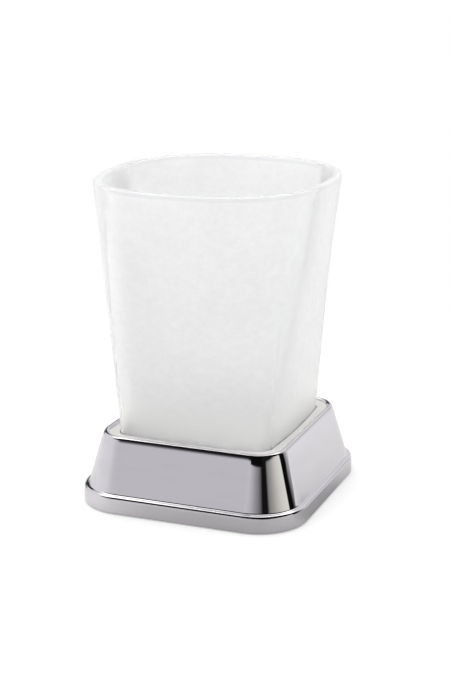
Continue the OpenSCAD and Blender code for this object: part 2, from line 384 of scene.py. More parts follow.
class RingTree(MeshTree):
    """The tree that carries a list of rings round an outline."""

    INPUTS = {
        Outline.GLASS: {"Ring Count": 0, "Side Steps": 64, "Corner Pull": 1.8, "Rim Power": 2.0},
        Outline.CORE_SQUARE: {"Ring Count": 0, "Side Steps": 54, "Flat Steps": 14, "Core": CORE * MM},
        Outline.ROUND: {"Ring Count": 0, "Side Steps": 16, "Pitch": MM},
    }

    def __init__(self, outline: Outline) -> None:
        """Makes the grid of rings and columns, places it and closes it.

        Args:
            outline: the rule that carries the rings round.
        """
        super().__init__(outline.name.lower() + "_rings", self.INPUTS[outline])
        tree, index = self.tree, self._index()
        self.side = self._input("Side Steps")
        in_row = self.side * SIDES + 1
        self.ring = (index / in_row).math("FLOOR")
        self.column = index.math("FLOORED_MODULO", in_row)
        position = add_node(tree, "GeometryNodeInputPosition").outputs[0]
        self.size, _, self.height = coordinates(self._sampled(position, "FLOAT_VECTOR"))
        places = {Outline.GLASS: self._on_glass, Outline.CORE_SQUARE: self._on_core_square,
                  Outline.ROUND: self._on_circle}
        place = combined(tree, *places[outline](), self.height)
        counts = {"Vertices X": self.given.outputs["Ring Count"], "Vertices Y": in_row}
        self._finish(add_node(tree, "GeometryNodeMeshGrid", counts).outputs["Mesh"],
                     ("GeometryNodeSetPosition", {"Position": place}),
                     ("GeometryNodeMergeByDistance", {"Distance": WELD}),
                     ("GeometryNodeSetShadeSmooth", {}))

    def _sampled(self, value: NodeSocket, kind: str) -> NodeSocket:
        """Reads a value of the point's own ring from the list of rings."""
        inputs = {"Geometry": self.given.outputs["Geometry"], "Value": value, "Index": self.ring}
        return add_node(self.tree, "GeometryNodeSampleIndex", inputs, data_type=kind).outputs["Value"]

    def _attribute(self, name: str) -> Field:
        """Reads a named number of the point's own ring."""
        named = add_node(self.tree, "GeometryNodeInputNamedAttribute", {"Name": name}, data_type="FLOAT")
        return Field(self._sampled(named.outputs["Attribute"], "FLOAT"))

    def _on_glass(self) -> tuple[Field, Field]:
        """Places a point on an outline that turns from a rounded square into the rim's.

        Returns:
            Its x and y.
        """
        nearness = (self.column.math("FLOORED_MODULO", self.side) / self.side) * 2 - 1
        pulled = nearness.math("ABSOLUTE") ** self._input("Corner Pull")
        local = nearness.math("SIGN") * pulled * EIGHTH
        aside = EIGHTH - local.math("ABSOLUTE")
        share = self._attribute("corner_share")
        cos, sin = aside.math("COSINE"), aside.math("SINE")
        centre = 1 - share
        along = centre * (cos + sin)
        under_root = (along * along - centre * centre * 2 + share * share).math("MAXIMUM", 0.0)
        on_side = (sin / cos).math("LESS_THAN", centre)
        squared = on_side.mix(along + under_root.math("SQRT"), 1 / cos)
        power = self._input("Rim Power")
        rim = (cos ** power + sin ** power) ** (-1.0 / power)
        reach = self._attribute("turn").mix(squared, rim) * self.size
        return polar(reach, (self.column / self.side).math("FLOOR") * QUARTER + EIGHTH + local)

    def _on_core_square(self) -> tuple[Field, Field]:
        """Places a point on the core square grown outwards by the ring's size.

        Returns:
            Its x and y.
        """
        flat, core = self._input("Flat Steps"), self._input("Core")
        corner = self.side - flat
        step = self.column.math("FLOORED_MODULO", self.side)
        out, over = polar(self.size, (step / corner).math("MINIMUM", 1.0) * QUARTER)
        share = ((step - corner) / flat).math("MAXIMUM", 0.0)
        eased = share * share * (3 - share * 2)
        x, y = core * (1 - eased * 2) + out, core + over
        turned = (self.column / self.side).math("FLOOR") * QUARTER
        cos, sin = turned.math("COSINE"), turned.math("SINE")
        return x * cos - y * sin, x * sin + y * cos

    def _on_circle(self) -> tuple[Field, Field]:
        """Places a point on a circle, drawn in by the thread where the ring asks for one.

        Returns:
            Its x and y.
        """
        turned = self.column / (self.side * SIDES)
        phase = (self.height / self._input("Pitch") - turned).math("FLOORED_MODULO", 1.0)
        groove = (phase * 2 - 1).math("ABSOLUTE")
        return polar(self.size - self._attribute("thread") * groove, turned * math.tau)


class PlacesTree(MeshTree):
    """The tree that sets copies of a mesh round the middle of the base."""

    INPUTS = {"Count": SIDES, "Reach": 0.0, "First Angle": 0.0, "Turn Range": 0.0, "Seed": 0}
    # Places of the random node's sockets for a plain number
    LEAST, MOST, RESULT = 2, 3, 1

    def __init__(self) -> None:
        """Makes the points and the copies with their seeded turns."""
        super().__init__("places_round", self.INPUTS)
        tree, given = self.tree, self.given.outputs
        angle = self._input("First Angle") + self._index() * math.tau / self._input("Count")
        place = combined(tree, *polar(self._input("Reach"), angle), 0.0)
        points = add_node(tree, "GeometryNodePoints", {"Count": given["Count"], "Position": place})
        loose = add_node(tree, "FunctionNodeRandomValue", {
            self.LEAST: self._input("Turn Range") * -1, self.MOST: given["Turn Range"],
            "Seed": given["Seed"]}, data_type="FLOAT")
        turned = angle + Field(loose.outputs[self.RESULT])
        copies = add_node(tree, "GeometryNodeInstanceOnPoints", {
            "Points": points.outputs[0], "Instance": given["Geometry"],
            "Rotation": combined(tree, 0.0, 0.0, turned)})
        self._finish(copies.outputs[0])


def link_object(name: str, data: ID) -> Object:
    """Puts a mesh, lamp or camera into the scene as an object at the origin.

    Args:
        name: the object's name.
        data: what it shows.

    Returns:
        The object.
    """
    obj = bpy.data.objects.new(name, data)
    bpy.context.scene.collection.objects.link(obj)
    return obj


def evaluated_mesh(obj: Object) -> bpy.types.Mesh:
    """The mesh of an object with its modifiers, as a plain mesh of its own."""
    evaluated = obj.evaluated_get(bpy.context.evaluated_depsgraph_get())
    return bpy.data.meshes.new_from_object(evaluated)


def ring_piece(name: str, rings: list[Ring], outline: Outline, material: Material,
               **values: float) -> Object:
    """Makes a piece from its rings.

    Args:
        name: the piece's name.
        rings: the rings in millimetres, from where the skin starts to where it closes.
        outline: the rule that carries them round.
        material: the piece's finish.
        values: the tree's other named inputs, with underscores for spaces.

    Returns:
        The piece as a plain mesh.
    """
    mesh = bpy.data.meshes.new(name)
    mesh.from_pydata([(r.size * MM, 0.0, r.height * MM) for r in rings], [], [])
    for key in ("corner_share", "turn", "thread"):
        attribute = mesh.attributes.new(key, "FLOAT", "POINT")
        attribute.data.foreach_set("value", [getattr(r, key) for r in rings])
    inputs = {key.replace("_", " ").title(): value for key, value in values.items()}
    inputs |= {"Ring Count": len(rings), "Material": material}
    return RingTree(outline).run(link_object(name, mesh), inputs)


def around(piece: Object, reach: float, material: Material, first: float = 0.0, turn: float = 0.0,
           seed: int = 0) -> Object:
    """Sets copies of a piece round the middle of the base.

    Args:
        piece: the piece, made on the middle.
        reach: how far out the copies go, in millimetres.
        material: their finish.
        first: the first copy's angle, in degrees.
        turn: how far each copy may be turned on its own axis, in degrees.
        seed: the seed of those turns.

    Returns:
        The same object, with all copies in its mesh.
    """
    values = {"Reach": reach * MM, "First Angle": math.radians(first), "Turn Range": math.radians(turn),
              "Seed": seed, "Material": material}
    return PlacesTree().run(piece, values)


def block(name: str, ends: list[list[Triple]], material: Material, edge: float = 0.0) -> Object:
    """A closed block between two outlines that have as many corners as each other.

    Args:
        name: the block's name.
        ends: the corners of its lower and of its upper outline, in millimetres.
        material: its finish.
        edge: how far its edges are rounded off, in millimetres.

    Returns:
        The block.
    """
    shape = bmesh.new()
    low, high = ([shape.verts.new([v * MM for v in corner]) for corner in end] for end in ends)
    shape.faces.new(low[::-1])
    shape.faces.new(high)
    for i in range(len(low)):
        j = (i + 1) % len(low)
        shape.faces.new((low[i], low[j], high[j], high[i]))
    if edge:
        bmesh.ops.bevel(shape, geom=shape.edges[:], offset=edge * MM, segments=BEVEL_FACES,
                        affect="EDGES")
    bmesh.ops.recalc_face_normals(shape, faces=shape.faces)
    mesh = bpy.data.meshes.new(name)
    shape.to_mesh(mesh)
    shape.free()
    mesh.materials.append(material)
    return link_object(name, mesh)


def merged(piece: Object, other: Object) -> Object:
    """Moves the mesh of another object into a piece.

    Args:
        piece: the piece.
        other: the object that is taken up.

    Returns:
        The same piece, with both meshes.
    """
    shape = bmesh.new()
    shape.from_mesh(piece.data)
    shape.from_mesh(other.data)
    shape.to_mesh(piece.data)
    shape.free()
    bpy.data.objects.remove(other)
    return piece


def cut(piece: Object, cutter: Object) -> Object:
    """Cuts a closed mesh out of a piece and keeps the new edges sharp.

    Args:
        piece: the piece.
        cutter: what is taken out of it, which goes.

    Returns:
        The same piece, cut.
    """
    modifier = piece.modifiers.new("cut", "BOOLEAN")
    modifier.operation = "DIFFERENCE"
    modifier.solver = "EXACT"
    modifier.object = cutter
    mesh = evaluated_mesh(piece)
    piece.modifiers.remove(modifier)
    bpy.data.objects.remove(cutter)
    mesh.set_sharp_from_angle(angle=math.radians(SHARP_ANGLE))
    piece.data = mesh
    return piece


def placed(piece: Object, node: str, body: str) -> Object:
    """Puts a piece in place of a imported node.

    Args:
        piece: the piece.
        node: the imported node.
        body: the body that carries it.

    Returns:
        The same piece.
    """
    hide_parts(node)
    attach(piece, body)
    return piece


@dataclass(frozen=True)
class Pattern:
    """A cloudy pattern from 0 to 1, and the part of that range which shows, where it isn't all of it."""

    per_metre: float
    detail: float = 3.0
    fine: float = 0.5
    stretch: Triple = (1.0, 1.0, 1.0)
    span: Span | None = None


class Finish:
    """A material in the making, whose patterns lie on Object coordinates."""

    def __init__(self, name: str) -> None:
        """Makes the plain material.

        Args:
            name: its name.
        """
        self.material = bpy.data.materials.new(name)
        self.material.use_nodes = True
        self.tree = self.material.node_tree
        self.shader = self.tree.nodes["Principled BSDF"]
        self.place = add_node(self.tree, "ShaderNodeTexCoord").outputs["Object"]

    def noise(self, pattern: Pattern) -> Field:
        """Lays a pattern on the material.

        Args:
            pattern: the pattern.

        Returns:
            Its field.
        """
        mapping = add_node(self.tree, "ShaderNodeMapping", {
            "Scale": pattern.stretch, "Vector": self.place})
        node = add_node(self.tree, "ShaderNodeTexNoise", {
            "Scale": pattern.per_metre, "Detail": pattern.detail, "Roughness": pattern.fine,
            "Vector": mapping.outputs[0]})
        field = Field(node.outputs["Fac"])
        return field.ramp(*pattern.span) if pattern.span else field

    def height(self) -> Field:
        """Height above the underside, in metres."""
        return coordinates(self.place)[2]

    def constant(self, **values: float) -> None:
        """Sets inputs of the shader that are the same all over, with underscores for spaces."""
        for key, value in values.items():
            self.shader.inputs[key.replace("_", " ")].default_value = value

    def colour(self, first: object, last: Triple, share: Field) -> NodeSocket:
        """Sets a base colour that goes from one colour to another.

        Args:
            first: the first colour, or the socket of the base colour so far.
            last: the last colour.
            share: how much of the last colour there is.

        Returns:
            The socket of the base colour.
        """
        colour = mixed(share, first, last)
        fill(self.shader.inputs["Base Color"], colour)
        return colour

    def roughness(self, first: float, last: float, share: Field) -> None:
        """Sets a roughness that goes from one value to another."""
        fill(self.shader.inputs["Roughness"], share.mix(first, last))

    def bump(self, height: Field, depth: float) -> None:
        """Adds relief by a pattern from 0 to 1 and its depth in metres."""
        node = add_node(self.tree, "ShaderNodeBump", {"Distance": depth, "Height": height})
        fill(self.shader.inputs["Normal"], node.outputs[0])


@dataclass(frozen=True)
class FrostedGlass:
    """Pressed glass with an acid-frosted surface, with painted shade that greys it at its foot and along
    the rim's two rounded edges.
    """

    tint: Triple = (1.0, 1.0, 1.0)
    speck_tint: Triple = (0.915, 0.915, 0.925)
    # Painted shade at the glass's foot, for the base's darkness seen through the wall; heights in metres
    foot_shade_tint: Triple = (0.955, 0.955, 0.94)
    foot_low_z: float = 0.024
    foot_grey_z: float = 0.029
    foot_pale_z: float = 0.04
    # Painted shade along the rim's two rounded edges
    rim_shade_tint: Triple = (0.88, 0.88, 0.89)
    rim_z: float = high_z("tumbler_glass") * MM
    band_top: Span = (0.0002, 0.0006)
    band_end: Span = (0.0012, 0.0019)
    through: float = 0.55
    ior: float = 1.15
    roughness: Span = (0.6, 0.5)
    clouds: Pattern = Pattern(60.0, span=(0.35, 0.68))
    specks: Pattern = Pattern(330.0, detail=5.0, fine=0.85, span=(0.37, 0.63))
    speck_weight: float = 3.0
    grain: Pattern = Pattern(2600.0)
    grain_depth: float = 0.00004

    def make(self) -> Material:
        """Builds the material.

        Returns:
            The material.
        """
        finish = Finish("acid_frosting_with_painted_shade")
        clouds, specks = finish.noise(self.clouds), finish.noise(self.specks)
        mottle = (clouds + specks * self.speck_weight) / (1 + self.speck_weight)
        body = finish.colour(self.tint, self.speck_tint, mottle)
        # Painted shade: full at foot_grey_z, fading up to foot_pale_z, and fading down to foot_low_z so the
        # band just above the ledge stays pale against the ledge's shade
        height = finish.height()
        above = height.ramp(self.foot_low_z, self.foot_grey_z)
        foot = (1 - height.ramp(self.foot_grey_z, self.foot_pale_z)) * above
        body = finish.colour(body, self.foot_shade_tint, foot)
        # Painted shade: a grey band over the rim's rounded edges, which leaves its crest pale
        below = self.rim_z - height
        band = (1 - below.ramp(*self.band_end)) * below.ramp(*self.band_top)
        finish.colour(body, self.rim_shade_tint, band)
        finish.roughness(*self.roughness, clouds)
        finish.constant(Transmission_Weight=self.through, IOR=self.ior)
        finish.bump(finish.noise(self.grain), self.grain_depth)
        return finish.material


@dataclass(frozen=True)
class Coat:
    """A finish of two colours that lie in clouds, over a fine relief. Metal dulls with the clouds."""

    name: str
    colour: Triple
    colour_deep: Triple
    roughness: Span
    clouds: Pattern
    relief: Pattern
    depth: float
    metallic: float = 0.0

    def make(self) -> Material:
        """Builds the material.

        Returns:
            The material.
        """
        finish = Finish(self.name)
        clouds, relief = finish.noise(self.clouds), finish.noise(self.relief)
        finish.colour(self.colour, self.colour_deep, clouds)
        finish.roughness(*self.roughness, clouds if self.metallic else relief)
        finish.constant(Metallic=self.metallic)
        finish.bump(relief, self.depth)
        return finish.material


MOULD_CLOUDS = Pattern(80.0)
BRIGHT_PLATING = Coat(
    "mirror_plating", (0.68, 0.658, 0.704), (0.656, 0.634, 0.679), roughness=(0.03, 0.05),
    clouds=Pattern(60.0, detail=5.0, stretch=(1.0, 1.0, 4.0), span=(0.45, 0.75)),
    relief=Pattern(35.0, detail=1.0), depth=0.000001, metallic=1.0)
ZINC_PLATE = Coat(
    "zinc_on_steel", (0.6, 0.6, 0.61), (0.47, 0.46, 0.44), roughness=(0.24, 0.42),
    clouds=Pattern(700.0, span=(0.4, 0.7)), relief=Pattern(9000.0), depth=0.000006, metallic=1.0)
LINER_PLASTIC = Coat(
    "pale_moulding", (0.8, 0.79, 0.77), (0.76, 0.75, 0.73), roughness=(0.42, 0.5),
    clouds=MOULD_CLOUDS, relief=Pattern(5200.0), depth=0.00002)
SEAT_FOAM = Coat(
    "foam_skin", (0.56, 0.56, 0.55), (0.46, 0.46, 0.455), roughness=(0.85, 0.95),
    clouds=MOULD_CLOUDS, relief=Pattern(2400.0), depth=0.00008)
PLATE_PLASTIC = Coat(
    "dark_moulding", (0.045, 0.045, 0.047), (0.06, 0.06, 0.062), roughness=(0.5, 0.62),
    clouds=MOULD_CLOUDS, relief=Pattern(3800.0), depth=0.00004)
PAD_RUBBER = Coat(
    "rubber_skin", (0.035, 0.035, 0.035), (0.055, 0.054, 0.052), roughness=(0.78, 0.9),
    clouds=MOULD_CLOUDS, relief=Pattern(3000.0), depth=0.00005)


@dataclass
class TumblerGlass:
    """The frosted glass: rounded square at the foot, nearly round at the rim. Millimetres."""

    foot_z: float = low_z("tumbler_glass")
    top_z: float = high_z("tumbler_glass")
    rim_half: float = half_width("tumbler_glass") - MARGIN
    foot_half: float = 25.886
    corner_share: float = 0.1795
    rim_power: float = 2.44
    draw_in: float = 0.33
    wall: float = 3.2
    floor_t: float = 8.0
    rim_r: float = 1.4
    foot_round: float = 2.5
    floor_round: float = 6.0
    hollow_d: float = 0.8
    hollow_run: float = 2.0
    stand_ring: float = 3.0
    arc_steps: int = 10
    wall_steps: int = 26

    def share(self, height: float) -> float:
        """Share of the way up the glass, kept between 0 and 1."""
        return min(max((height - self.foot_z) / (self.top_z - self.foot_z), 0.0), 1.0)

    def half(self, height: float) -> float:
        """Half width of the outside at a height, drawn in most half way up."""
        s = self.share(height)
        return self.foot_half + (self.rim_half - self.foot_half) * s - 4 * self.draw_in * s * (1 - s)

    def ring(self, inset: float, height: float) -> Ring:
        """A ring at a distance inside the outer outline."""
        return Ring(self.half(height) - inset, height, self.corner_share, self.share(height))

    def edge(self, inset: float, flat: list[Ring]) -> list[Ring]:
        """Moves a round edge from the middle to an inset from the outside, which it then follows."""
        return [self.ring(inset - r.size, r.height) for r in flat]

    def wall_rings(self, inset: float, start: float, end: float) -> list[Ring]:
        """Rings of a wall between two heights, without its ends."""
        steps = self.wall_steps
        return [self.ring(inset, start + (end - start) * i / steps) for i in range(1, steps)]

    def rings(self) -> list[Ring]:
        """The whole skin.

        Returns:
            Its rings, from the middle of the hollow underneath to the middle of the floor.
        """
        low, steps, rim_r, floor_r = self.foot_z, self.arc_steps, self.rim_r, self.floor_round
        foot_z, rim_z = low + self.foot_round, self.top_z - rim_r
        floor_z = low + self.floor_t + floor_r
        stand = Ring(self.half(low) - self.foot_round - self.stand_ring, low, self.corner_share)
        hollow_size = stand.size - self.hollow_run * self.hollow_d
        hollow = stand._replace(size=hollow_size, height=low + self.hollow_d)
        return capped([
            hollow, *between(hollow, stand, steps), stand,
            *self.edge(self.foot_round, arc(0.0, foot_z, self.foot_round, DOWN, OUT, steps)),
            *self.wall_rings(0.0, foot_z, rim_z),
            *self.edge(rim_r, arc(0.0, rim_z, rim_r, OUT, UP, steps)),
            *self.edge(self.wall - rim_r, arc(0.0, rim_z, rim_r, UP, INWARD, steps)),
            *self.wall_rings(self.wall, rim_z, floor_z),
            *self.edge(self.wall + floor_r, arc(0.0, floor_z, floor_r, OUT, DOWN, steps)),
        ])

    def build(self, finish: Material) -> list[Object]:
        """Builds the glass and puts it on its body."""
        glass = ring_piece("frosted_tumbler", self.rings(), Outline.GLASS, finish,
                           rim_power=self.rim_power)
        return [placed(glass, "tumbler_glass", "glass")]


@dataclass
class BaseShell:
    """The bright casting: foot, sloping wall, rounded lip and the shoulder inside. Millimetres."""

    corner_r: float = half_width("base_shell") - CORE - MARGIN
    foot_low_z: float = low_z("base_shell")
    foot_top_z: float = 6.4
    base_h: float = high_z("base_shell")
    body_x: float = 15.34
    lip_x: float = 9.75
    lip_r: float = 1.1
    foot_edge_r: float = 1.1
    foot_low_r: float = 0.4
    fillet_r: float = 0.6
    wall: float = 2.0
    shoulder_x: float = 6.73
    shoulder_z: float = 22.8
    shoulder_t: float = 1.4
    plate_seat_x: float = 15.4
    plate_top_z: float = 2.6
    edge_r: float = 0.15
    crown: float = 0.14
    crown_power: float = 10.0
    arc_steps: int = 12
    lip_steps: int = 24
    edge_steps: int = 4
    face_steps: int = 6
    wall_steps: int = 40

    def lean(self) -> float:
        """Lean of the sloping wall from upright, in radians."""
        return math.atan2(self.body_x - self.lip_x, self.base_h - self.foot_top_z)

    def inner_x(self, height: float) -> float:
        """Inner face of the sloping wall at a height."""
        lean = self.lean()
        return self.lip_x + (self.base_h - height) * math.tan(lean) - self.wall / math.cos(lean)

    def crowned(self, start: Ring, end: Ring) -> list[Ring]:
        """The sloping wall, which its polishing leaves slightly crowned below the lip.

        Args:
            start: the ring at its foot.
            end: the ring at its lip.

        Returns:
            The rings between them.
        """
        shares = [i / self.wall_steps for i in range(1, self.wall_steps)]
        return [Ring(start.size + (end.size - start.size) * s + self.crown * (s - s ** self.crown_power),
                     start.height + (end.height - start.height) * s) for s in shares]

    def rings(self) -> list[Ring]:
        """The closed profile, out from the core square.

        Returns:
            Its rings, anticlockwise from the foot's lower edge.
        """
        lean, steps, r, low = self.lean(), self.arc_steps, self.edge_r, self.foot_low_z
        slope, rise, cos = math.degrees(lean), math.tan(lean), math.cos(lean)
        fillet_x = self.body_x - self.fillet_r * rise + self.fillet_r / cos
        lip_mid = self.lip_x + self.lip_r * rise - self.lip_r / cos
        shoulder_low = self.shoulder_z - self.shoulder_t
        chamfer = (self.inner_x(shoulder_low) - self.shoulder_x) / (1 - rise)
        seat = self.plate_seat_x
        fillet_z = self.foot_top_z + self.fillet_r
        fillet = arc(fillet_x, fillet_z, self.fillet_r, UNDER, INWARD + slope, steps)
        lip = arc(lip_mid, self.base_h - self.lip_r, self.lip_r, slope, INWARD, self.lip_steps)
        parts = [
            [Ring(seat, low + r), *arc(seat + r, low + r, r, INWARD, UNDER, self.edge_steps)],
            arc(self.corner_r - self.foot_low_r, low + self.foot_low_r, self.foot_low_r,
                DOWN, OUT, steps),
            arc(self.corner_r - self.foot_edge_r, self.foot_top_z - self.foot_edge_r, self.foot_edge_r,
                OUT, UP, steps),
            [*fillet, *self.crowned(fillet[-1], lip[0]), *lip],
            [Ring(lip_mid - self.lip_r, self.shoulder_z)],
            arc(self.shoulder_x + r, self.shoulder_z - r, r, UP, INWARD, self.edge_steps),
            [Ring(self.shoulder_x, shoulder_low)],
            [Ring(self.shoulder_x + chamfer, shoulder_low - chamfer)],
            [Ring(self.inner_x(self.plate_top_z), self.plate_top_z)],
            [Ring(seat, self.plate_top_z)],
            [Ring(seat, low + r)],
        ]
        return joined(parts, self.face_steps)

    def build(self, finish: Material) -> list[Object]:
        """Builds the shell and puts it on its body."""
        shell = ring_piece("bright_base", self.rings(), Outline.CORE_SQUARE, finish)
        return [placed(shell, "base_shell", "base")]


@dataclass
class SeatLiner:
    """The pale tray whose flange is the ledge round the glass, and its soft pad. Millimetres."""

    glass: TumblerGlass
    screw_at: float
    flange_x: float = half_width("seat_liner") - CORE
    ledge_z: float = high_z("seat_liner")
    flange_t: float = 1.4
    floor_low_z: float = 4.0
    floor_top_z: float = low_z("seat_pad")
    wall: float = 1.2
    gap: float = 0.35
    edge_r: float = 0.25
    well_round: float = 0.8
    wall_low: float = 2.0
    boss_r: float = 2.9
    bore_r: float = 1.45
    boss_low_z: float = low_z("seat_liner")
    boss_high_z: float = 11.6
    bore_high_z: float = 10.6
    boss_edge_r: float = 0.3
    rib_t: float = 1.6
    rib_edge: float = 0.15
    pad_gap: float = 1.0
    pad_edge_r: float = 0.35
    pad_lift: float = 0.03
    arc_steps: int = 5
    wall_steps: int = 8

    def rings(self) -> list[Ring]:
        """The skin of the tray.

        Returns:
            Its rings, from the middle of its underside to the middle of its floor.
        """
        glass, r, steps, deep = self.glass, self.edge_r, self.arc_steps, self.well_round
        flange_low, outer = self.ledge_z - self.flange_t, self.gap + self.wall
        low = self.floor_low_z + self.wall_low
        levels = [low + (flange_low - low) * i / self.wall_steps for i in range(self.wall_steps + 1)]
        flange = rounded_side(self.flange_x, flange_low, self.ledge_z, r, steps)
        return capped([
            *glass.edge(r - outer, arc(0.0, self.floor_low_z + r, r, DOWN, OUT, steps)),
            *(glass.ring(-outer, z) for z in levels),
            *(grown(p.size, p.height) for p in flange),
            *glass.edge(-self.gap - r, arc(0.0, self.ledge_z - r, r, UP, INWARD, steps)),
            *(glass.ring(-self.gap, z) for z in levels[-2:0:-1]),
            *glass.edge(deep - self.gap, arc(0.0, self.floor_top_z + deep, deep, OUT, DOWN, steps)),
        ])

    def boss_rings(self) -> list[Ring]:
        """One screw boss.

        Returns:
            Its rings, from the middle of its bore's end, out, and over to the middle of its top.
        """
        r, steps, foot = self.boss_edge_r, self.arc_steps, self.boss_low_z + self.boss_edge_r
        bore = [Ring(self.bore_r, self.bore_high_z), Ring(self.bore_r, foot)]
        low = arc(self.bore_r + r, foot, r, INWARD, UNDER, steps)
        side = arc(self.boss_r - r, foot, r, DOWN, OUT, steps)
        top = arc(self.boss_r - r, self.boss_high_z - r, r, OUT, UP, steps)
        return capped(joined([bore, low, side, top], self.wall_steps))

    def rib(self, finish: Material) -> Object:
        """One rib between the well and its boss.

        Args:
            finish: its material.

        Returns:
            The rib, with its boss on the middle.
        """
        side, out = self.rib_t / 2, -(self.bore_r + self.boss_r) / 2
        ends = []
        for z in (self.floor_low_z, self.boss_high_z):
            start = self.glass.half(z) + self.gap + self.wall / 2 - self.screw_at
            ends.append([(start, -side, z), (out, -side, z), (out, side, z), (start, side, z)])
        return block("rib", ends, finish, self.rib_edge)

    def pad_rings(self) -> list[Ring]:
        """The soft pad on the tray's floor.

        Returns:
            Its rings, from the middle of its underside to the middle of its top.
        """
        half = self.glass.half(0.0) + self.gap - self.pad_gap
        low, high = low_z("seat_pad") + self.pad_lift, high_z("seat_pad") - self.pad_lift
        side = rounded_side(half, low, high, self.pad_edge_r, self.arc_steps)
        return capped([p._replace(corner_share=self.glass.corner_share) for p in side])

    def build(self, finish: Material, foam: Material) -> list[Object]:
        """Builds the tray with its bosses and its soft pad, and puts them on their body.

        Args:
            finish: the tray's material.
            foam: the pad's material.

        Returns:
            The tray and the pad.
        """
        power = self.glass.rim_power
        tray = ring_piece("ledge_tray", self.rings(), Outline.GLASS, finish, rim_power=power)
        boss = ring_piece("boss", self.boss_rings(), Outline.ROUND, finish)
        bosses = around(merged(boss, self.rib(finish)), self.screw_at, finish)
        pad = ring_piece("soft_seat", self.pad_rings(), Outline.GLASS, foam, rim_power=power)
        placed(merged(tray, bosses), "seat_liner", "base")
        placed(pad, "seat_pad", "base")
        return [tray, pad]


